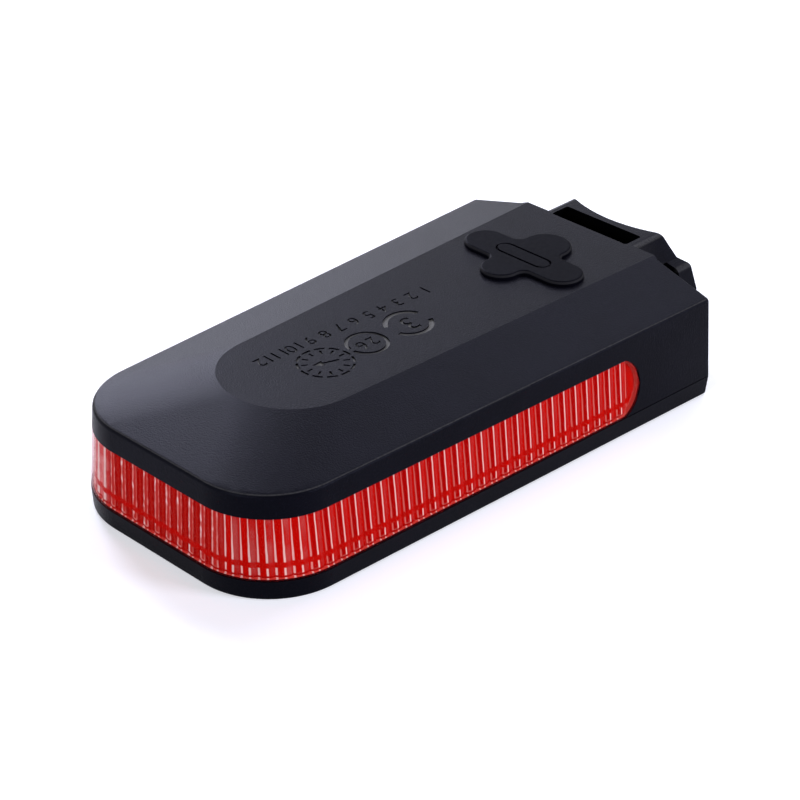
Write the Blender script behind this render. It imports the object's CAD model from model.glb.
import bmesh
import bpy
import math
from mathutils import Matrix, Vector, geometry


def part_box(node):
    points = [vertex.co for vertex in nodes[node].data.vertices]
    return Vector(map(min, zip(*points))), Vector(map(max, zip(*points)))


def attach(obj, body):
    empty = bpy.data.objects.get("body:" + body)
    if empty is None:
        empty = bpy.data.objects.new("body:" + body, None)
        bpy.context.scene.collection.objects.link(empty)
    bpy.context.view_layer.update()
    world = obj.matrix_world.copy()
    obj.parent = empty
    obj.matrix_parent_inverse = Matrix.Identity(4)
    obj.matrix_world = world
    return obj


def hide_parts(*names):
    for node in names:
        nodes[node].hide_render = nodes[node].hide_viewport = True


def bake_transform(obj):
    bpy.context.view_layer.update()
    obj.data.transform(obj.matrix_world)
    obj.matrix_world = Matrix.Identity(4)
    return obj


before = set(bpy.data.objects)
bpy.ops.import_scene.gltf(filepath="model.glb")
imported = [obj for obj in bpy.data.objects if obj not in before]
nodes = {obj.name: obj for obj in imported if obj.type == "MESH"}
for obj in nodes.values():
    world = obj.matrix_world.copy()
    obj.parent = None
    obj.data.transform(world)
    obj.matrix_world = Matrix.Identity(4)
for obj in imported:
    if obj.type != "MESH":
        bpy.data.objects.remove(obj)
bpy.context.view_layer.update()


# Circuit board: 0.8 mm glass fibre under green solder mask, with the tracks showing through as lighter lines.
# Posts of the two shells clamp it, and the small board on the end of the battery is cut from the same sheet.
MM = 0.001
TRACK_SCALE, TRACK_HIGH, BARE_EDGE = 260.0, 0.03, 0.04
MASK_DARK, MASK_LIGHT = (0.008, 0.075, 0.03), (0.014, 0.11, 0.045)
TRACK_GREEN, BARE_GLASS = (0.04, 0.24, 0.1), (0.42, 0.4, 0.2)


def home(values):
    """The node tree that the links among some values belong to."""
    return next(value.id_data for value in values if isinstance(value, bpy.types.NodeSocket))


def connect(socket, value):
    """Gives an input a number or a colour, or links it."""
    if isinstance(value, bpy.types.NodeSocket):
        socket.id_data.links.new(value, socket)
    elif socket.type == "RGBA":
        socket.default_value = (*value, 1)
    else:
        socket.default_value = value


def node(kind, settings=None, tree=None, **values):
    """Adds a node; values go to the inputs of those names, as numbers or as links."""
    added = (tree or home(values.values())).nodes.new(kind)
    for name, value in (settings or {}).items():
        setattr(added, name, value)
    for name, value in values.items():
        wanted = name.replace("_", " ")
        connect(next(s for s in added.inputs if s.enabled and s.name == wanted), value)
    return added


def maths(operation, *values):
    added = home(values).nodes.new("ShaderNodeMath")
    added.operation = operation
    for socket, value in zip(added.inputs, values):
        connect(socket, value)
    return added.outputs[0]


def times(first, *others):
    for other in others:
        first = maths("MULTIPLY", first, other)
    return first


def axes(vector):
    return node("ShaderNodeSeparateXYZ", Vector=vector).outputs


def ease(value, start, end, low=0.0, high=1.0):
    """Low before start and high after end, with a smooth step between."""
    span = dict(Value=value, From_Min=start, From_Max=end, To_Min=low, To_Max=high)
    return node("ShaderNodeMapRange", {"interpolation_type": "SMOOTHSTEP"}, **span).outputs[0]


def within(value, low, high, soft):
    """1 between low and high, with a smooth step inside each of them."""
    return times(ease(value, low, low + soft), ease(value, high - soft, high, 1.0, 0.0))


def mixed(factor, a, b):
    """Blends two colours: a where the factor is 0, b where it is 1."""
    added = node("ShaderNodeMix", {"data_type": "RGBA"}, Factor=factor, A=a, B=b)
    return next(s for s in added.outputs if s.enabled)


def new_material(name):
    """A material, the inputs of its surface and the place on the object."""
    material = bpy.data.materials.new(name)
    material.use_nodes = True
    tree = material.node_tree
    place = tree.nodes.new("ShaderNodeTexCoord").outputs["Object"]
    return material, tree.nodes["Principled BSDF"].inputs, place


def grain(place, size, detail=2.0, stretch=None):
    """Noise whose lumps are about size across; stretch squeezes it along an axis, as brushing does."""
    if stretch:
        place = node("ShaderNodeMapping", Vector=place, Scale=stretch).outputs[0]
    return node("ShaderNodeTexNoise", Vector=place, Scale=1 / size, Detail=detail).outputs["Fac"]


def felt(surface, height, depth):
    """Lets a height be felt on the surface."""
    connect(surface["Normal"], node("ShaderNodeBump", Height=height, Distance=depth).outputs[0])


def wear(material, *names):
    """Gives a material to the plain parts of those names."""
    for name in names:
        for slot in nodes[name].material_slots:
            slot.material = material


mask, surface, place = new_material("solder_mask")
track = node("ShaderNodeTexBrick", Vector=place, Scale=TRACK_SCALE, Mortar_Size=0.06, Brick_Width=0.9,
             Row_Height=0.3).outputs["Fac"]
tone = mixed(times(track, 0.6), mixed(grain(place, 2 * MM), MASK_DARK, MASK_LIGHT), TRACK_GREEN)
underside, upside = (corner[2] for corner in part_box("main_board"))
cut_edge = within(axes(place)["Z"], underside, upside, BARE_EDGE * MM)
connect(surface["Base Color"], mixed(cut_edge, tone, BARE_GLASS))
connect(surface["Roughness"], ease(track, 0.0, 1.0, 0.3, 0.42))
felt(surface, track, TRACK_HIGH * MM)
wear(mask, "main_board", "battery_guard_board")


# Lamps: white moulded packages, soldered round the rim of the board so that the whole band lights up. The
# small status lamp and the ceramic parts, on the underside of the board, share their chalky white.
PHOSPHOR_SCALE = 420.0
CHALK_DARK, CHALK_LIGHT, PHOSPHOR = (0.62, 0.6, 0.5), (0.78, 0.76, 0.68), (0.8, 0.62, 0.12)


def roughen(surface, noise, low, high):
    """Roughness from low to high, by a noise that keeps mostly between 0.3 and 0.7."""
    connect(surface["Roughness"], ease(noise, 0.3, 0.7, low, high))


package, surface, place = new_material("lamp_package")
speck = grain(place, 0.35 * MM, 3.0)
tone = mixed(ease(speck, 0.4, 0.6), CHALK_DARK, CHALK_LIGHT)
window = node("ShaderNodeTexVoronoi", Vector=place, Scale=PHOSPHOR_SCALE).outputs["Distance"]
connect(surface["Base Color"], mixed(ease(window, 0.0, 0.5, 0.4, 0.0), tone, PHOSPHOR))
roughen(surface, speck, 0.35, 0.5)
felt(surface, speck, 0.01 * MM)
wear(package, "lamp_chips", "status_lamp", "passive_parts")


# Chips, coil and tact switch: black epoxy and glass-filled nylon, moulded round their leads and soldered to
# the underside of the board. The socket's insulator is the same nylon.
EPOXY_DARK, EPOXY_LIGHT = (0.010, 0.010, 0.011), (0.026, 0.026, 0.028)
NYLON_DARK, NYLON_LIGHT = (0.012, 0.012, 0.012), (0.022, 0.022, 0.022)


def plain_finish(name, dark, light, size, depth, rough, specular=0.5, metal=0.0, stretch=None):
    """Moulded or plated surface: slow patches of tone, and a fine grain in its height and its roughness."""
    material, surface, place = new_material(name)
    fine = grain(place, size, 2.0, stretch)
    slow = grain(place, 12 * size, 3.0)
    connect(surface["Base Color"], mixed(ease(slow, 0.35, 0.65), dark, light))
    roughen(surface, fine, *rough)
    felt(surface, fine, depth)
    surface["Specular IOR Level"].default_value = specular
    surface["Metallic"].default_value = metal
    return material


epoxy = plain_finish("chip_epoxy", EPOXY_DARK, EPOXY_LIGHT, size=0.16 * MM, depth=0.012 * MM,
                     rough=(0.42, 0.6))
wear(epoxy, "control_chip", "charge_chip", "boost_coil")
nylon = plain_finish("filled_nylon", NYLON_DARK, NYLON_LIGHT, size=0.3 * MM, depth=0.006 * MM,
                     rough=(0.3, 0.45))
wear(nylon, "switch_body", "switch_plunger", "usb_contact_block")


# Charging socket: a stamped, bent and nickel-plated steel can that stands upright on the board. The switch's
# legs and the battery's strips have the same plating, with the fine lines of rolled sheet.
NICKEL_DARK, NICKEL_LIGHT = (0.46, 0.45, 0.42), (0.6, 0.59, 0.56)

nickel = plain_finish("nickel_plate", NICKEL_DARK, NICKEL_LIGHT, size=0.25 * MM, depth=0.003 * MM,
                      rough=(0.2, 0.34), metal=1.0, stretch=(1, 1, 9))
wear(nickel, "usb_receptacle", "switch_terminals", "battery_strips")


# Battery: a lithium pouch, sealed in embossed aluminium foil. It is stuck down on a pad of open grey foam,
# cut from sheet with glue on both sides.
CREASE_SCALE, CREASE_DEEP, PORE_SCALE, PORE_DEEP = 330.0, 0.04, 2600.0, 0.08
FOIL_DARK, FOIL_LIGHT = (0.42, 0.42, 0.43), (0.62, 0.62, 0.63)
PORE_DARK, FOAM_LIGHT = (0.08, 0.08, 0.085), (0.3, 0.3, 0.31)

foil, surface, place = new_material("pouch_foil")
crease = node("ShaderNodeTexVoronoi", {"feature": "DISTANCE_TO_EDGE"}, Vector=place,
              Scale=CREASE_SCALE).outputs[0]
sheen = grain(place, 3 * MM)
connect(surface["Base Color"], mixed(sheen, FOIL_DARK, FOIL_LIGHT))
roughen(surface, sheen, 0.24, 0.42)
felt(surface, ease(crease, 0.0, 0.12), CREASE_DEEP * MM)
surface["Metallic"].default_value = 0.85
wear(foil, "battery_cell")

foam, surface, place = new_material("open_foam")
pore = node("ShaderNodeTexVoronoi", Vector=place, Scale=PORE_SCALE).outputs["Distance"]
connect(surface["Base Color"], mixed(ease(pore, 0.1, 0.5), PORE_DARK, FOAM_LIGHT))
connect(surface["Roughness"], ease(pore, 0.0, 0.6, 0.98, 0.8))
felt(surface, pore, PORE_DEEP * MM)
wear(foam, "battery_foam_pad")


# Reflector: a frame of white ABS, injection-moulded with a slight gloss. It stands on the lower cover behind
# the lens and round the board, and the lamps reach into its windows and hold it down.
WHITE_DARK, WHITE_LIGHT = (0.76, 0.76, 0.74), (0.84, 0.84, 0.82)

wear(plain_finish("white_moulding", WHITE_DARK, WHITE_LIGHT, size=0.4 * MM, depth=0.004 * MM,
                  rough=(0.28, 0.4)), "reflector_frame")


# Lens: one band of clear red polycarbonate, moulded with upright flutes behind a polished face. It slides up
# into a pocket of the upper shell and the lower cover traps it. One tree of geometry nodes makes both its
# layers, the flutes and the smooth face in front of them.
LENS_BOTTOM, LENS_TOP = 2.15, 8.5
END_X, FRONT_X = 26.709, -32.967
REAR_HALF, FRONT_HALF, CORNER, CORNER_PARTS = 16.676, 14.376, 8.176, 24
TIP_X, TIP_BULGE = 16.2, 2.15
DRAFT = 0.075
FLUTE_DEEP, FLUTE_PITCH, FLUTE_HIGH, PLAIN_END = 0.6, 1.61, 0.3, 1.7
RIM_WIDE, FACE_RIM_WIDE, RIM_STEP = 0.16, 0.12, 0.06
FLUTE_WALL, POLISH_THICK = 0.5, 0.2

band = bpy.data.node_groups.new("fluted_band", "GeometryNodeTree")
band.interface.new_socket("Geometry", in_out="INPUT", socket_type="NodeSocketGeometry")
band_sizes = {
    "Corner Radius": CORNER * MM, "Columns": 600, "Rows": 60, "Face Depth": FLUTE_DEEP * MM,
    "Rim Depth": (POLISH_THICK + RIM_STEP) * MM, "Rim Width": RIM_WIDE * MM, "Flute Height": FLUTE_HIGH * MM,
    "Pitch": FLUTE_PITCH * MM, "Plain End": PLAIN_END * MM,
}
for label, value in band_sizes.items():
    kind = "NodeSocketInt" if isinstance(value, int) else "NodeSocketFloat"
    band.interface.new_socket(label, in_out="INPUT", socket_type=kind).default_value = value
band.interface.new_socket("Material", in_out="INPUT", socket_type="NodeSocketMaterial")
band.interface.new_socket("Geometry", in_out="OUTPUT", socket_type="NodeSocketGeometry")
given = band.nodes.new("NodeGroupInput").outputs

# A flat grid, one unit long and one high, whose columns go to the places along the rounded route.
path = node("GeometryNodeMeshToCurve", Mesh=given["Geometry"]).outputs[0]
path = node("GeometryNodeFilletCurve", {"mode": "POLY"}, Curve=path, Radius=given["Corner Radius"],
            Count=CORNER_PARTS).outputs[0]
length = node("GeometryNodeCurveLength", Curve=path).outputs[0]
sheet = node("GeometryNodeMeshGrid", Size_X=1.0, Size_Y=1.0, Vertices_X=given["Columns"],
             Vertices_Y=given["Rows"]).outputs["Mesh"]
spot = axes(band.nodes.new("GeometryNodeInputPosition").outputs[0])
share = maths("ADD", spot["X"], 0.5)
rail = node("GeometryNodeSampleCurve", {"mode": "FACTOR", "use_all_curves": True}, Curves=path, Factor=share)
here = axes(rail.outputs["Position"])

# Heights: rows crowd towards both rims, and the ends of the band close in a round tip.
half_high = (LENS_TOP - LENS_BOTTOM) / 2 * MM
round_radius = (half_high ** 2 + (TIP_BULGE * MM) ** 2) / (2 * TIP_BULGE * MM)
past = maths("MAXIMUM", maths("SUBTRACT", here["X"], TIP_X * MM - round_radius), 0.0)
past_square = times(past, past)
room = maths("MAXIMUM", maths("SUBTRACT", round_radius ** 2, past_square), 0.0)
room = maths("MINIMUM", maths("SQRT", room), half_high)
above_middle = times(maths("SINE", times(spot["Y"], math.pi)), room)
height = maths("ADD", above_middle, (LENS_TOP + LENS_BOTTOM) / 2 * MM)
reach = maths("SQRT", maths("MULTIPLY_ADD", above_middle, above_middle, past_square))
edge = maths("SUBTRACT", half_high, maths("ABSOLUTE", above_middle))
edge = maths("MINIMUM", edge, maths("SUBTRACT", round_radius, reach))

# Flutes: a whole number of round ribs between the plain ends, and a rim that stands forward all round.
fluted_length = maths("SUBTRACT", length, times(given["Plain End"], 2.0))
count = maths("ROUND", maths("DIVIDE", fluted_length, given["Pitch"]))
along = maths("SUBTRACT", times(share, length), given["Plain End"])
along = maths("DIVIDE", along, maths("DIVIDE", fluted_length, count))
inside = times(maths("GREATER_THAN", along, 0.0), maths("LESS_THAN", along, count))
across = maths("MULTIPLY_ADD", maths("FRACT", along), 2.0, -1.0)
crown = maths("SUBTRACT", 1.0, times(across, across))
flute = times(maths("SQRT", maths("MAXIMUM", crown, 0.0)), inside)
depth = maths("SUBTRACT", given["Face Depth"], times(flute, given["Flute Height"]))
rim = ease(edge, 0.0, given["Rim Width"], 1.0, 0.0)
depth = node("ShaderNodeMix", Factor=rim, A=depth, B=given["Rim Depth"]).outputs[0]

# Each point of the grid goes to its height on the route, then out by the draft and in by the depth.
spread = times(maths("SUBTRACT", LENS_TOP * MM, height), DRAFT)
outward = node("ShaderNodeVectorMath", {"operation": "CROSS_PRODUCT"}, band)
outward.inputs[0].default_value = (0, 0, 1)
connect(outward.inputs[1], rail.outputs["Tangent"])
push = node("ShaderNodeVectorMath", {"operation": "SCALE"}, Vector=outward.outputs[0],
            Scale=maths("SUBTRACT", spread, depth)).outputs[0]
lift = node("ShaderNodeCombineXYZ", X=here["X"], Y=here["Y"], Z=height).outputs[0]
moved = node("ShaderNodeVectorMath", {"operation": "ADD"}, band)
connect(moved.inputs[0], push)
connect(moved.inputs[1], lift)

# The paint of the lens reads these four values, which stay on the mesh.
RUN_OUT, SAME_PLACE = 0.25, 1e-6
last = maths("ADD", count, RUN_OUT)
ribbed = times(maths("GREATER_THAN", along, -RUN_OUT), maths("LESS_THAN", along, last))
shape = sheet
for label, value in (("along", along), ("height", height), ("edge", edge), ("ribbed", ribbed)):
    shape = node("GeometryNodeStoreNamedAttribute", Geometry=shape, Name=label, Value=value).outputs[0]
shape = node("GeometryNodeSetPosition", Geometry=shape, Position=moved.outputs[0]).outputs[0]
shape = node("GeometryNodeMergeByDistance", Geometry=shape, Distance=SAME_PLACE).outputs[0]
shape = node("GeometryNodeFlipFaces", Mesh=shape).outputs[0]
shape = node("GeometryNodeRealizeInstances", Geometry=shape).outputs[0]
shape = node("GeometryNodeSetMaterial", Geometry=shape, Material=given["Material"]).outputs[0]
connect(band.nodes.new("NodeGroupOutput").inputs[0], shape)


def hold(name, data):
    """Puts a mesh or the like into the scene."""
    holder = bpy.data.objects.new(name, data)
    bpy.context.scene.collection.objects.link(holder)
    return holder


def settled(holder):
    """The plain mesh that a holder comes to with its modifiers; the holder goes."""
    mesh = bpy.data.meshes.new_from_object(holder.evaluated_get(bpy.context.evaluated_depsgraph_get()))
    bpy.data.objects.remove(holder)
    return mesh


def finished(name, mesh, body=None, replaced=()):
    """Makes a mesh a piece of the light."""
    piece = hold(name, mesh)
    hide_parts(*replaced)
    if body:
        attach(piece, body)
    return piece


def side_half(x):
    """Half the light's width at x."""
    return FRONT_HALF + (REAR_HALF - FRONT_HALF) * (x - FRONT_X) / (END_X - FRONT_X)


def lens_layer(name, material, wall, **changes):
    """One layer of the lens, with its own sizes and a wall behind it."""
    corners = ((TIP_X, -1), (FRONT_X, -1), (FRONT_X, 1), (TIP_X, 1))
    route = [(x, side * side_half(x), 0) for x, side in corners]
    line = bpy.data.meshes.new(name + "_route")
    line.from_pydata([tuple(v * MM for v in p) for p in route], [(0, 1), (1, 2), (2, 3)], [])
    maker = hold(name + "_maker", line)
    modifier = maker.modifiers.new("band", "NODES")
    modifier.node_group = band
    changes["Material"] = material
    for item in band.interface.items_tree:
        change = item.name.replace(" ", "_")
        if item.in_out == "INPUT" and change in changes:
            modifier[item.identifier] = changes[change]
    solid = maker.modifiers.new("wall", "SOLIDIFY")
    solid.thickness = wall
    solid.offset = -1
    layer = settled(maker)
    layer.name = name
    work = bmesh.new()
    work.from_mesh(layer)
    bmesh.ops.recalc_face_normals(work, faces=work.faces)
    for face in work.faces:
        face.smooth = True
    work.to_mesh(layer)
    work.free()
    return finished(name, layer, "housing", ["lens_band"])


def stripe(value, centre, half_width, soft):
    """1 on a narrow stripe of a value, falling off softly on both sides."""
    away = maths("ABSOLUTE", maths("SUBTRACT", value, centre))
    return ease(away, half_width, half_width + soft, 1.0, 0.0)


def bright_line(share, centre, half_width, soft):
    """A line down each flute, whose half width is a link."""
    away = maths("ABSOLUTE", maths("SUBTRACT", share, centre))
    return ease(maths("SUBTRACT", away, half_width), -0.01, soft, 1.0, 0.0)


def in_mm(place):
    """The coordinates of a place, in millimetres."""
    return axes(node("ShaderNodeVectorMath", {"operation": "SCALE"}, Vector=place, Scale=1 / MM).outputs[0])


flutes, surface, place = new_material("fluted_polycarbonate")
along, height, edge, ribbed = (
    node("ShaderNodeAttribute", {"attribute_name": name}, place.id_data).outputs["Fac"]
    for name in ("along", "height", "edge", "ribbed"))
height, edge = maths("DIVIDE", height, MM), maths("DIVIDE", edge, MM)
spot = in_mm(place)

# The front with its near and its far corner, where the flutes catch the light in their own ways.
AHEAD_X, FRONT_Y, NEAR_Y, FAR_Y = (-30, -25), (-9.5, -7.5), (-8.5, -6.5), (6.5, 9)
ahead = ease(spot["X"], *AHEAD_X, 1.0, 0.0)
front = times(ahead, ease(spot["Y"], *FRONT_Y))
near = times(ahead, ease(spot["Y"], *NEAR_Y, 1.0, 0.0))
far = times(ahead, ease(spot["Y"], *FAR_Y))
ragged = maths("SUBTRACT", grain(place, 0.8 * MM), 0.5)
patch = ease(grain(place, 1.1 * MM), 0.42, 0.62)
slow = ease(grain(place, 3.5 * MM), 0.35, 0.6)
spark = times(front, ease(grain(place, 0.7 * MM), 0.5, 0.62))

# Share of a flute, from one edge to the other. The lines lean a little, and lie further back at the near
# corner.
LEAN, LEAN_MIDDLE, RAGGED_SHIFT, NEAR_SHIFT = -0.02, 6.0, 0.05, -0.12
lean = maths("ADD", times(maths("SUBTRACT", height, LEAN_MIDDLE), LEAN), times(ragged, RAGGED_SHIFT))
turn = maths("FRACT", maths("ADD", along, lean))
near_turn = maths("FRACT", maths("ADD", along, maths("MULTIPLY_ADD", near, NEAR_SHIFT, lean)))

# The red itself, lighter and darker in streaks down the two flanks of each flute.
RED, LIGHT_RED, DARK_RED = (0.62, 0.0026, 0.0007), (0.57, 0.027, 0.022), (0.46, 0.00081, 0.0007)
NEAR_RED, FAR_DULL, FAR_BRIGHT = (0.59, 0.076, 0.063), (0.73, 0.11, 0.1), (0.84, 0.27, 0.24)
FRONT_DARK, FRONT_FLANK, FRONT_STREAK = (0.41, 0.0026, 0.001), (0.59, 0.03, 0.021), (0.57, 0.017, 0.011)
LOW_FLANK, HIGH_FLANK = 0.2, 0.69
light_flank = times(stripe(turn, LOW_FLANK + 0.02, 0.08, 0.1), ease(slow, 0.0, 1.0, 0.5, 1.0))
dark_flank = times(stripe(turn, HIGH_FLANK + 0.01, 0.06, 0.08), ease(near, 0.0, 1.0, 1.0, 0.0))
near_flank = times(near, slow, stripe(near_turn, LOW_FLANK, 0.1, 0.12), 0.9)
side_red = mixed(near_flank, mixed(dark_flank, mixed(light_flank, RED, LIGHT_RED), DARK_RED), NEAR_RED)
front_red = mixed(stripe(turn, HIGH_FLANK, 0.16, 0.06), FRONT_DARK, FRONT_FLANK)
front_red = mixed(times(stripe(turn, LOW_FLANK, 0.03, 0.06), 0.7), front_red, FRONT_STREAK)
tone = mixed(far, mixed(front, side_red, front_red), mixed(patch, FAR_DULL, FAR_BRIGHT))

# Heights that show flutes: the long ones above the ledge, the short ones below it, and the lowest rim.
LEDGE, SHORT_TOP, SHORT_BOTTOM, LOWEST = 4.0, 3.3, 2.48, 2.26
PLAIN_RED, FOOT_PINK = (0.62, 0.0051, 0.0021), (0.81, 0.32, 0.25)
long = ease(height, LEDGE - 0.2, LEDGE - 0.08)
short = within(height, SHORT_BOTTOM, SHORT_TOP, 0.06)
lowest = ease(height, LOWEST, LOWEST + 0.06, 1.0, 0.0)
fluted = times(maths("MAXIMUM", maths("MAXIMUM", long, short), lowest), ribbed)
tone = mixed(times(maths("SUBTRACT", 1.0, fluted), 0.8), tone, PLAIN_RED)
foot = times(stripe(height, SHORT_BOTTOM + 0.06, 0.045, 0.03), stripe(turn, HIGH_FLANK, 0.15, 0.03), ribbed,
             ease(front, 0.0, 1.0, 0.25, 0.85), maths("SUBTRACT", 1.0, near))
tone = mixed(foot, tone, FOOT_PINK)

# The side line of each flute narrows upwards, and is wide and ragged on the front.
SIDE_LINE, TAPER_START, TAPER_END = 0.88, 3.8, 8.8
SIDE_DULL, SIDE_BRIGHT = (0.76, 0.17, 0.13), (0.82, 0.3, 0.24)
SIDE_SPARK, SIDE_NEAR = (1.0, 0.74, 0.64), (1.0, 0.6, 0.5)
taper = maths("MAXIMUM", front, ease(height, TAPER_START, TAPER_END, 1.0, 0.12))
wide = maths("MULTIPLY_ADD", front, 0.04, maths("MULTIPLY_ADD", near, 0.015, 0.032))
wide = maths("ADD", times(wide, taper), times(ragged, front, 0.24))
side_line = bright_line(near_turn, SIDE_LINE, wide, 0.035)
side_tone = mixed(times(front, ease(patch, 0.0, 1.0, 0.35, 1.0)), SIDE_DULL, SIDE_BRIGHT)
side_tone = mixed(near, mixed(spark, side_tone, SIDE_SPARK), SIDE_NEAR)
tone = mixed(times(side_line, fluted), tone, side_tone)

# The main line is a fine bright one along the sides, dull on the front and broad round the far corner.
MAIN_LINE = 0.5
MAIN_BRIGHT, MAIN_FRONT = (1.0, 0.66, 0.54), (0.66, 0.093, 0.07)
MAIN_SPARK, MAIN_FAR = (0.9, 0.36, 0.3), (1.0, 0.88, 0.74)
wide = times(near, maths("SUBTRACT", taper, 0.65), 0.05)
wide = maths("ADD", maths("MULTIPLY_ADD", far, 0.13, 0.028), wide)
wide = maths("MULTIPLY_ADD", times(ragged, front), 0.1, wide)
main_line = bright_line(turn, MAIN_LINE, wide, 0.04)
main_tone = mixed(times(spark, 0.6), mixed(front, MAIN_BRIGHT, MAIN_FRONT), MAIN_SPARK)
tone = mixed(times(main_line, fluted), tone, mixed(far, main_tone, MAIN_FAR))

# The lowest rim, the dark step above it, and the rim of the plain tip.
STEP_HEIGHT, TIP_START = 2.39, 13.0
RIM_RED, RIM_PINK = (0.7, 0.051, 0.035), (0.92, 0.51, 0.41)
STEP_RED, TIP_RED = (0.41, 0.0026, 0.0014), (0.66, 0.068, 0.049)
lines = times(ribbed, maths("MAXIMUM", side_line, main_line))
tone = mixed(lowest, tone, mixed(lines, RIM_RED, RIM_PINK))
tone = mixed(times(stripe(height, STEP_HEIGHT, 0.06, 0.05), 0.8), tone, STEP_RED)
tip = times(ease(spot["X"], TIP_START, TIP_START + 0.6), ease(edge, 0.2, 0.3, 1.0, 0.0))
connect(surface["Base Color"], mixed(tip, tone, TIP_RED))
roughen(surface, grain(place, 1.5 * MM), 0.2, 0.32)
surface["Specular IOR Level"].default_value = 0.0
lens_layer("lens_flutes", flutes, FLUTE_WALL * MM)

# The polished face is nearly clear where it is seen square on, and closes to red at a glancing angle.
FACE_DARK, FACE_LIGHT = (0.55, 0.004, 0.003), (0.62, 0.02, 0.016)
polished, surface, place = new_material("polished_polycarbonate")
cloud = grain(place, 2.5 * MM)
connect(surface["Base Color"], mixed(cloud, FACE_DARK, FACE_LIGHT))
roughen(surface, cloud, 0.03, 0.07)
surface["Specular IOR Level"].default_value = 0.14
facing = node("ShaderNodeLayerWeight", tree=place.id_data).outputs["Facing"]
connect(surface["Alpha"], ease(facing, 0.5, 1.0, 0.045, 0.6))
lens_layer("lens_face", polished, POLISH_THICK * MM, Columns=240, Rows=16, Face_Depth=0.0,
           Rim_Depth=RIM_STEP * MM, Rim_Width=FACE_RIM_WIDE * MM, Flute_Height=0.0)


# Seals: soft grey silicone, cut or moulded as strips. One lies between the lens's hidden edge and the shell,
# one runs round the lower cover under the lens's foot and the shell's lip, and a collar closes the gap round
# the charging socket.
SILICONE_DARK, SILICONE_LIGHT = (0.2, 0.2, 0.21), (0.26, 0.26, 0.27)

silicone = plain_finish("grey_silicone", SILICONE_DARK, SILICONE_LIGHT, size=0.4 * MM, depth=0.01 * MM,
                        rough=(0.45, 0.6))
wear(silicone, "lens_gasket", "cover_seal", "port_collar")


# Shells: black ABS, moulded in a spark-eroded tool, which leaves a fine grain. The shoulder's edge and the
# roundings beside the saddle are a little worn. Mould marks are cut in the flat: a row of the numbers 1 to
# 12, a month dial, a year ring and a cavity number.
FLAT_Z, SHOULDER_Z, SHOULDER_END, EAR_START = 13.0, 10.85, 26.3, 27.0
WORN_CORNERS = ((6.08, 12.87, 0.12), (8.93, 9.84, 0.16))
MARK_DEEP, MARKS_HALF, MARKS_START = 0.18, 5, -18.5
BLACK, LIGHTER_BLACK = (0.0021, 0.0021, 0.0038), (0.0027, 0.0027, 0.0049)
GRAIN_PEAK, CUT_GREY, WORN_GREY = (0.0098, 0.0098, 0.0165), (0.125, 0.122, 0.108), (0.04, 0.039, 0.038)
COOL_SHEEN = (0.77, 0.795, 1.0, 1.0)
GRAIN_SIZE, GRAIN_HIGH = 0.16, 0.036

abs_black, surface, place = new_material("black_abs")
fine = grain(place, GRAIN_SIZE * MM, 3.0)
slow = grain(place, 6 * MM, 3.0)
tone = mixed(ease(slow, 0.35, 0.65), BLACK, LIGHTER_BLACK)
tone = mixed(ease(fine, 0.55, 0.8, 0.0, 0.5), tone, GRAIN_PEAK)
spot = in_mm(place)
mark_floor = times(stripe(spot["Z"], FLAT_Z - MARK_DEEP, 0.02, 0.01), stripe(spot["Y"], 0.0, MARKS_HALF, 0.1),
                   ease(spot["X"], MARKS_START, MARKS_START + 0.1))
tone = mixed(mark_floor, tone, CUT_GREY)
before_end = ease(spot["X"], SHOULDER_END, SHOULDER_END + 0.2, 1.0, 0.0)
worn = times(stripe(spot["Z"], SHOULDER_Z, 0.015, 0.05), before_end)
side = maths("ABSOLUTE", spot["Y"])
for corner_y, corner_z, wide in WORN_CORNERS:
    off_y, off_z = maths("SUBTRACT", side, corner_y), maths("SUBTRACT", spot["Z"], corner_z)
    off = maths("SQRT", maths("MULTIPLY_ADD", off_y, off_y, times(off_z, off_z)))
    corner = times(ease(off, wide, wide + 0.3, 1.0, 0.0), ease(spot["X"], EAR_START, EAR_START + 0.2))
    worn = maths("MAXIMUM", worn, corner)
worn = times(worn, ease(fine, 0.35, 0.6, 0.6, 1.0))
connect(surface["Base Color"], mixed(worn, tone, WORN_GREY))
roughen(surface, fine, 0.3, 0.37)
felt(surface, fine, GRAIN_HIGH * MM)
surface["Specular IOR Level"].default_value = 0.03
surface["Specular Tint"].default_value = COOL_SHEEN
wear(abs_black, "lower_cover", "button_retainer")


def stack(work, rings, hollow=False):
    """Joins rings of points in millimetres with faces, and closes the ends or, if hollow, joins them."""
    made = [[work.verts.new(tuple(v * MM for v in p)) for p in ring] for ring in rings]
    for low, high in zip(made, made[1:] + made[:1] if hollow else made[1:]):
        for i in range(len(low)):
            j = (i + 1) % len(low)
            work.faces.new((low[i], low[j], high[j], high[i]))
    if not hollow:
        work.faces.new(made[0][::-1])
        work.faces.new(made[-1])


def outline_cut(work, outline):
    """An upright cutter on an outline, as deep as a mark."""
    stack(work, [[(x, y, z) for x, y in outline] for z in (FLAT_Z - MARK_DEEP, FLAT_Z + MARK_DEEP)])


def arc(centre, radius, start, end, steps):
    turns = [math.radians(start + (end - start) * i / steps) for i in range(steps + 1)]
    return [(centre[0] + radius * math.cos(t), centre[1] + radius * math.sin(t)) for t in turns]


def curved_cut(work, centre, radius, width, start, end):
    """Part of a ring, of the given width."""
    steps = max(6, int(abs(end - start) / 8))
    outer = arc(centre, radius + width / 2, start, end, steps)
    outline_cut(work, outer + arc(centre, radius - width / 2, end, start, steps))


def straight_cut(work, start, end, width):
    ahead = end - start
    beside = Vector((-ahead.y, ahead.x)).normalized() * width / 2
    outline_cut(work, [tuple(c) for c in (start + beside, start - beside, end - beside, end + beside)])


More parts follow.
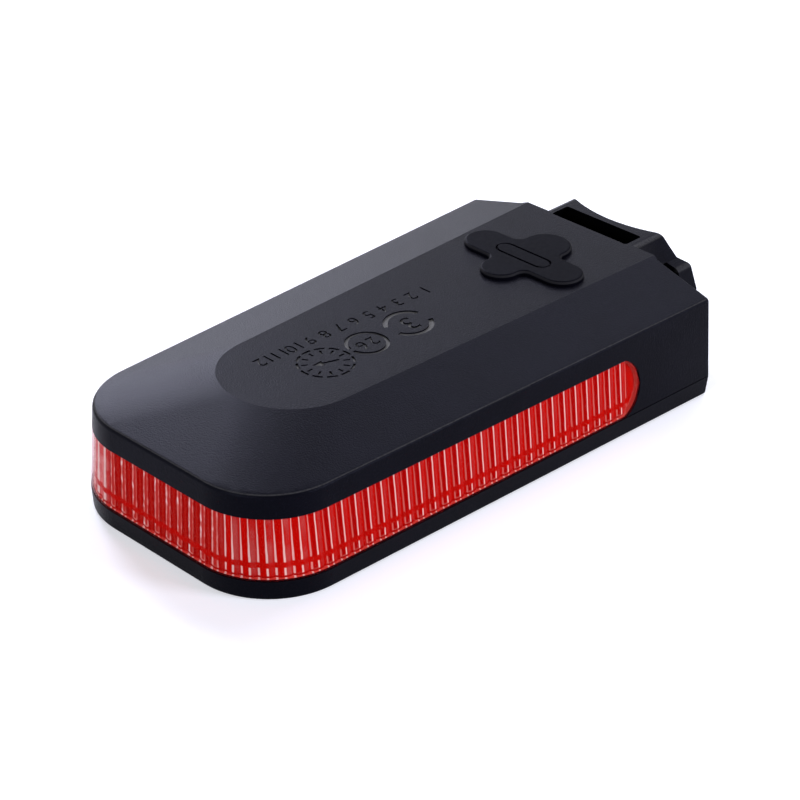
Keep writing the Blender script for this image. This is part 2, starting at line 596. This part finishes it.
def arrow_cut(work, centre, long, heading):
    """A pointer through the middle of a dial."""
    neck, half, barb = long * 0.1, 0.14, 0.5
    pointer = [(long / 2, 0), (neck, barb), (neck, half), (-long / 2, half), (-long / 2, -half),
               (neck, -half), (neck, -barb)]
    cos, sin = math.cos(math.radians(heading)), math.sin(math.radians(heading))
    outline_cut(work, [(centre[0] + x * cos - y * sin, centre[1] + x * sin + y * cos) for x, y in pointer])


def number_cut(work, text, centre, high):
    """A plain number, cut upright, that reads from the far side of the light."""
    type_per_height = 1.38
    words = bpy.data.curves.new("number", "FONT")
    words.body, words.size = text, high * MM * type_per_height
    words.align_x, words.align_y = "CENTER", "CENTER"
    words.extrude = MARK_DEEP * MM
    words.resolution_u = 4
    number = settled(hold("number", words))
    for vertex in number.vertices:
        x, y, z = vertex.co
        vertex.co = (centre[0] * MM - x, centre[1] * MM - y, FLAT_Z * MM + z)
    work.from_mesh(number)
    bpy.data.meshes.remove(number)


def meshed(work, name):
    """Turns the work into a mesh, with its faces outwards."""
    bmesh.ops.recalc_face_normals(work, faces=work.faces)
    mesh = bpy.data.meshes.new(name)
    work.to_mesh(mesh)
    work.free()
    return mesh


ROW_X, ROW_Y, ROW_HIGH = (4.7, -16.5), (2.6, 3.3), 1.55
MARK_Y, DIAL_X, YEAR_X, CAVITY_X = -1.2, -12.6, -7.1, -1.4
DIAL_RADIUS, DIAL_WIDE, DIAL_ARC, POINTER_LONG, POINTER_HEADING = 2.78, 0.26, 11, 2.8, 160
TICK_START, TICK_END, TICK_WIDE = 1.75, 2.42, 0.22
YEAR_RADIUS, YEAR_WIDE, YEAR_ARC, YEAR_OFF, YEAR_HIGH = 2.05, 0.4, 172, 0.7, 1.6
CAVITY_RADIUS, CAVITY_WIDE, CAVITY_GAP, CAVITY_HIGH = 2.3, 0.55, 22, 2.5
WELD = 1e-7

work = bmesh.new()
hub = Vector((DIAL_X, MARK_Y))
for month in range(12):
    heading = 30 * month
    ray = Vector((math.cos(math.radians(heading)), math.sin(math.radians(heading))))
    curved_cut(work, hub, DIAL_RADIUS, DIAL_WIDE, heading - DIAL_ARC, heading + DIAL_ARC)
    straight_cut(work, hub + ray * TICK_START, hub + ray * TICK_END, TICK_WIDE)
    in_row = [start + (end - start) * (month / 11) for start, end in (ROW_X, ROW_Y)]
    number_cut(work, str(month + 1), in_row, ROW_HIGH)
arrow_cut(work, hub, POINTER_LONG, POINTER_HEADING)
curved_cut(work, (YEAR_X, MARK_Y), YEAR_RADIUS, YEAR_WIDE, -YEAR_ARC, YEAR_ARC)
number_cut(work, "2", (YEAR_X + YEAR_OFF, MARK_Y), YEAR_HIGH)
number_cut(work, "6", (YEAR_X - YEAR_OFF, MARK_Y), YEAR_HIGH)
for start in (CAVITY_GAP, CAVITY_GAP + 180):
    curved_cut(work, (CAVITY_X, MARK_Y), CAVITY_RADIUS, CAVITY_WIDE, start, start + 180 - 2 * CAVITY_GAP)
number_cut(work, "3", (CAVITY_X, MARK_Y), CAVITY_HIGH)
bmesh.ops.remove_doubles(work, verts=work.verts, dist=WELD)
cuts = meshed(work, "mark_cuts")


def cut_away(mesh, cutter):
    """Takes one mesh out of another and gives back the result."""
    blank, tool = hold("blank", mesh), hold("cutter", cutter)
    modifier = blank.modifiers.new("cut", "BOOLEAN")
    modifier.object, modifier.solver, modifier.operation = tool, "EXACT", "DIFFERENCE"
    result = settled(blank)
    bpy.data.objects.remove(tool)
    return result


PAD_X, PAD_HALF = 25.9, 8.8
LEVEL, NEARLY_LEVEL, SAME_HEIGHT = 0.995, 0.9, 0.002


def smoothed(mesh, angle, crease_z=None):
    """Smooth faces, but sharp above the angle, in the low crease at crease_z and round the pads at the end."""
    mesh.shade_smooth()
    mesh.set_sharp_from_angle(angle=math.radians(angle))
    edges = {tuple(sorted(edge.vertices)): edge for edge in mesh.edges}
    sloping = [face for face in mesh.polygons if crease_z and face.normal.z < LEVEL]
    for face in sloping:
        at_end = face.center.x > PAD_X * MM and abs(face.center.y) > PAD_HALF * MM
        on_pad = at_end and face.normal.z > NEARLY_LEVEL
        for key in face.edge_keys:
            if on_pad or all(abs(mesh.vertices[i].co.z - crease_z) < SAME_HEIGHT * MM for i in key):
                edges[tuple(sorted(key))].use_edge_sharp = True
    holder = hold("smoothed", mesh)
    holder.modifiers.new("flat", "WEIGHTED_NORMAL").keep_sharp = True
    return settled(holder)


SLOT_X, SLOT_HALF, SLOT_TOP, SHELL_ANGLE = (26.6, 29.3), 5.3, 12.3, 24
SLOT_DARK, SLOT_LIGHT = (0.0006, 0.0006, 0.0008), (0.001, 0.001, 0.0012)

work = bmesh.new()
work.from_mesh(nodes["upper_housing"].data)
bmesh.ops.remove_doubles(work, verts=work.verts, dist=WELD)
shell = bpy.data.meshes.new("upper_shell")
work.to_mesh(shell)
work.free()
shell = smoothed(cut_away(shell, cuts), SHELL_ANGLE, FLAT_Z * MM)
shell.materials.clear()
shell.materials.append(abs_black)
shell.materials.append(plain_finish("slot_black", SLOT_DARK, SLOT_LIGHT, size=0.3 * MM, depth=0.01 * MM,
                                    rough=(0.9, 1.0), specular=0.0))
for face in shell.polygons:
    x, y, z = (v / MM for v in face.center)
    if SLOT_X[0] < x < SLOT_X[1] and abs(y) < SLOT_HALF and z < SLOT_TOP:
        face.material_index = 1
finished("upper_shell", shell, "housing", ["upper_housing"])


# Power button: black silicone rubber, moulded with a flange that the retainer traps. It reaches the underside
# through the lower cover. The charging cover is the same rubber, and the roundings of its ends catch the
# light.
SOCKET_X = 16.559
ROUNDING_Z, ROUNDING_OFF, ROUNDING_SIDE = 13.38, 1.3, 4.0
RUBBER_DARK, RUBBER_LIGHT = (0.0014, 0.0014, 0.0027), (0.0023, 0.0024, 0.0042)
RUBBER_EDGE = (0.019, 0.0185, 0.019)

rubber, surface, place = new_material("black_rubber")
fine = grain(place, 0.5 * MM)
tone = mixed(ease(grain(place, 6 * MM), 0.35, 0.65), RUBBER_DARK, RUBBER_LIGHT)
spot = in_mm(place)
off_middle = maths("ABSOLUTE", maths("SUBTRACT", spot["X"], SOCKET_X))
at_end = ease(off_middle, ROUNDING_OFF, ROUNDING_OFF + 0.2)
at_side = ease(maths("ABSOLUTE", spot["Y"]), ROUNDING_SIDE, ROUNDING_SIDE + 0.2)
rounding = times(maths("MAXIMUM", at_end, at_side), stripe(spot["Z"], ROUNDING_Z, 0.08, 0.05))
connect(surface["Base Color"], mixed(rounding, tone, RUBBER_EDGE))
roughen(surface, fine, 0.4, 0.48)
felt(surface, fine, 0.001 * MM)
surface["Specular IOR Level"].default_value = 0.012
surface["Specular Tint"].default_value = COOL_SHEEN
wear(rubber, "power_button")


# Status light: a small pin of clear polycarbonate beside the button, moulded and pressed into the lower cover
# from inside. It is lightly frosted, to spread the light of the status lamp over it.
FROST_DARK, FROST_LIGHT = (0.74, 0.76, 0.77), (0.86, 0.88, 0.89)

pipe, surface, place = new_material("clear_pin")
frost = grain(place, 0.2 * MM)
connect(surface["Base Color"], mixed(frost, FROST_DARK, FROST_LIGHT))
roughen(surface, frost, 0.12, 0.22)
surface["Transmission Weight"].default_value = 0.6
wear(pipe, "status_light_pipe")


# Screws: four cross-headed steel screws, cold-headed and blackened. They go in from below, and clamp the
# lower cover and the board to the posts of the upper shell.
OXIDE_DARK, OXIDE_LIGHT = (0.02, 0.02, 0.022), (0.05, 0.05, 0.055)

wear(plain_finish("black_oxide", OXIDE_DARK, OXIDE_LIGHT, size=0.25 * MM, depth=0.006 * MM,
                  rough=(0.3, 0.45), metal=0.9), "cover_screws")


# Charging cover: one moulding of black silicone rubber, with an oval over the socket, a pull tab and a lobe
# that stays. The lobe's barbed stem is pushed through a hole in the shell, and the neck between them bends.
COVER_HIGH, COVER_ROUND = 0.55, 0.3
COVER_TOP = FLAT_Z + COVER_HIGH
OVAL_RADIUS, OVAL_CENTRE = 2.3, 5.25
TAB_RADIUS, TAB_CENTRE = 2.15, -3.4
LOBE_RADIUS, LOBE_CENTRE = 2.7, 3.45
NOTCH = 0.9
STEM_X, STEM_RADIUS, BARB_RADIUS, CEILING_Z = 20.069, 1.0, 1.4, 11.6
PLUG_HALF_LONG, PLUG_HALF_WIDE, PLUG_DEEP, PLUG_DRAFT = 3.15, 0.75, 0.7, 0.1
SUNK_IN = 0.1


def cover_outline(inset):
    """Outline of the cover round the socket's middle, drawn in by inset."""
    notch_x = OVAL_RADIUS + NOTCH
    notch_y = math.sqrt((LOBE_RADIUS + NOTCH) ** 2 - (notch_x - LOBE_CENTRE) ** 2)
    lean = math.degrees(math.atan2(notch_y, notch_x - LOBE_CENTRE))
    half = arc((LOBE_CENTRE, 0), LOBE_RADIUS - inset, 0, lean, 20)
    half += arc((notch_x, notch_y), NOTCH + inset, lean + 180, 180, 10)
    half += arc((0, OVAL_CENTRE), OVAL_RADIUS - inset, 0, 180, 32)
    half += arc((-OVAL_RADIUS - NOTCH, TAB_RADIUS + NOTCH), NOTCH + inset, 360, 270, 10)
    half += arc((TAB_CENTRE, 0), TAB_RADIUS - inset, 90, 180, 16)
    return half + [(x, -y) for x, y in half[-2:0:-1]]


work = bmesh.new()
levels = [(0.0, FLAT_Z), (0.0, COVER_TOP - COVER_ROUND)]
for turn in (math.radians(15 * i) for i in range(1, 7)):
    levels.append((COVER_ROUND * (1 - math.cos(turn)), COVER_TOP - COVER_ROUND * (1 - math.sin(turn))))
stack(work, [[(SOCKET_X + x, y, z) for x, y in cover_outline(inset)] for inset, z in levels])
circle = [(math.cos(t), math.sin(t)) for t in (math.radians(15 * i) for i in range(24))]
stem = [(BARB_RADIUS * 0.6, CEILING_Z - 1.2), (BARB_RADIUS, CEILING_Z - 0.2), (BARB_RADIUS, CEILING_Z - 0.1),
        (STEM_RADIUS, CEILING_Z - 0.08), (STEM_RADIUS, FLAT_Z + SUNK_IN)]
stack(work, [[(STEM_X + r * x, r * y, z) for x, y in circle] for r, z in stem])
plug = [(PLUG_DRAFT, FLAT_Z - PLUG_DEEP), (0.0, FLAT_Z + SUNK_IN)]
stack(work, [[(SOCKET_X + (PLUG_HALF_WIDE - d) * a, (PLUG_HALF_LONG - d) * b, z)
              for a, b in ((-1, -1), (1, -1), (1, 1), (-1, 1))] for d, z in plug])
blank = meshed(work, "cover_blank")

# The groove in the oval: a plain slot outline, narrower at its ends than along its sides.
GROOVE_HALF_LONG, GROOVE_RADIUS, GROOVE_WIDE, GROOVE_DEEP = 3.4, 0.95, 0.26, 0.22
run = GROOVE_HALF_LONG - GROOVE_RADIUS
outer_radius, inner_radius = GROOVE_RADIUS + GROOVE_WIDE / 2, GROOVE_RADIUS - GROOVE_WIDE / 2
outer = []
for end in (1, -1):
    outer += arc((SOCKET_X, end * run), outer_radius, 90 - 90 * end, 270 - 90 * end, 12)
inner = [(SOCKET_X + (x - SOCKET_X) * inner_radius / outer_radius, y - math.copysign(GROOVE_WIDE, y) * 0.5)
         for x, y in outer]
low, high = COVER_TOP - GROOVE_DEEP, COVER_TOP + GROOVE_DEEP
work = bmesh.new()
stack(work, [[(x, y, z) for x, y in ring] for ring, z in
             ((outer, low), (outer, high), (inner, high), (inner, low))], hollow=True)
cover_mesh = cut_away(blank, meshed(work, "port_outline"))

# Cuts across the neck, close together, let it bend there.
BEND_START, BEND_END, BEND_PARTS, COVER_ANGLE = 19.05, 18.3, 8, 40
work = bmesh.new()
work.from_mesh(cover_mesh)
for i in range(BEND_PARTS + 1):
    cut_x = BEND_END + (BEND_START - BEND_END) * i / BEND_PARTS
    everything = [*work.verts, *work.edges, *work.faces]
    bmesh.ops.bisect_plane(work, geom=everything, plane_co=(cut_x * MM, 0, 0), plane_no=(1, 0, 0))
cover_mesh = smoothed(meshed(work, "charging_cover"), COVER_ANGLE)
cover_mesh.materials.clear()
cover_mesh.materials.append(rubber)
cover = finished("charging_cover", cover_mesh, None, ["usb_cover_flap", "usb_cover_anchor"])
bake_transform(cover)


# Floor: a plain pale sheet of paper round the light's foot, a hair below it. It is white to the camera and in
# reflections, it takes the light's shadow, and from below it is clear, so that the underside can be seen.
FLOOR_RADIUS, FLOOR_DROP, FOOT_SHARE = 1.6, 0.02, 0.999
DIM_GREY, PALE_GREY, GLOW = 0.6, 0.8, 0.45
under = [tuple(v.co[:2]) for v in nodes["lower_cover"].data.vertices if abs(v.co.z) < SAME_PLACE]
inner = [(FOOT_SHARE * under[i][0], FOOT_SHARE * under[i][1], -FLOOR_DROP * MM)
         for i in geometry.convex_hull_2d(under)]
outer = [(x * FLOOR_RADIUS / math.hypot(x, y), y * FLOOR_RADIUS / math.hypot(x, y), z) for x, y, z in inner]
points = len(inner)
quads = [(i, points + i, points + (i + 1) % points, (i + 1) % points) for i in range(points)]
floor_mesh = bpy.data.meshes.new("floor")
floor_mesh.from_pydata(inner + outer, [], quads)


def either(factor, first, second):
    """One shader where the factor is 0, the other where it is 1."""
    mix = node("ShaderNodeMixShader", tree=factor.id_data)
    for socket, value in zip(mix.inputs, (factor, first, second)):
        connect(socket, value)
    return mix.outputs[0]


def by_ray(tree, unseen, seen):
    """The seen shader to the camera, in reflections and through clear parts, the unseen one elsewhere."""
    ray = node("ShaderNodeLightPath", tree=tree).outputs
    direct = maths("MAXIMUM", ray["Is Camera Ray"], ray["Is Glossy Ray"])
    return either(maths("MAXIMUM", direct, ray["Is Transmission Ray"]), unseen, seen)


paper = bpy.data.materials.new("pale_paper")
paper.use_nodes = True
tree = paper.node_tree
tree.nodes.clear()
dim, pale = (node("ShaderNodeBsdfDiffuse", tree=tree, Color=(grey, grey, grey)).outputs[0]
             for grey in (DIM_GREY, PALE_GREY))
glow = node("ShaderNodeEmission", tree=tree, Strength=GLOW).outputs[0]
bright = node("ShaderNodeAddShader", tree=tree)
connect(bright.inputs[0], pale)
connect(bright.inputs[1], glow)
from_below = node("ShaderNodeNewGeometry", tree=tree).outputs["Backfacing"]
clear = node("ShaderNodeBsdfTransparent", tree=tree).outputs[0]
sheet = either(from_below, by_ray(tree, dim, bright.outputs[0]), clear)
connect(node("ShaderNodeOutputMaterial", tree=tree).inputs["Surface"], sheet)
floor_mesh.materials.append(paper)
hold("floor", floor_mesh)


# Studio: an even white room with seven soft, slightly cool panels. The tall one behind lights the slopes and
# the nose, and three small ones round it even them out. The upper one lights the right slope, and the two at
# the sides light the lens.
scene = bpy.context.scene
world = bpy.data.worlds.new("studio")
scene.world = world
world.use_nodes = True
tree = world.node_tree
tree.nodes.clear()
air = node("ShaderNodeBackground", tree=tree, Color=(0.95, 0.97, 1.0), Strength=0.15).outputs[0]
white = node("ShaderNodeBackground", tree=tree, Color=(1.0, 1.0, 1.0), Strength=1.0).outputs[0]
connect(node("ShaderNodeOutputWorld", tree=tree).inputs["Surface"], by_ray(tree, air, white))

COOL_LAMP, PANEL_AWAY = (0.79, 0.805, 1.0), 1.0
# Name, heading and height in degrees (0 along +X), width and height in metres, power in watts.
for name, heading, rise, wide, high, power in (
        ("back_panel", 68, 28, 0.26, 0.5, 8.4),
        ("high_panel", 62, 41, 0.25, 0.25, 1.4),
        ("rear_panel", 45, 29, 0.25, 0.25, 0.82),
        ("low_panel", 58, 9, 0.3, 0.2, 0.5),
        ("upper_panel", 15, 50, 0.5, 0.5, 4.8),
        ("right_panel", -62, 19, 0.3, 0.3, 8.5),
        ("left_panel", 186, 22, 0.3, 0.3, 5.6)):
    lamp = bpy.data.lights.new(name, "AREA")
    lamp.shape, lamp.size, lamp.size_y, lamp.energy, lamp.color = "RECTANGLE", wide, high, power, COOL_LAMP
    panel = hold(name, lamp)
    heading, rise = math.radians(heading), math.radians(rise)
    flat = PANEL_AWAY * math.cos(rise)
    panel.location = (flat * math.cos(heading), flat * math.sin(heading), PANEL_AWAY * math.sin(rise))
    panel.rotation_euler = (-panel.location).to_track_quat("-Z", "Y").to_euler()

CAMERA_PLACE, CAMERA_TILT, CAMERA_HEADING = (-0.151938, -0.150949, 0.128962), 59.5623, -44.9251
view = bpy.data.cameras.new("camera")
view.lens, view.sensor_width = 110.67, 36
view.clip_start, view.clip_end = 0.01, 20
camera = hold("camera", view)
camera.location = CAMERA_PLACE
camera.rotation_euler = (math.radians(CAMERA_TILT), 0, math.radians(CAMERA_HEADING))
scene.camera = camera
scene.view_settings.view_transform = "Standard"
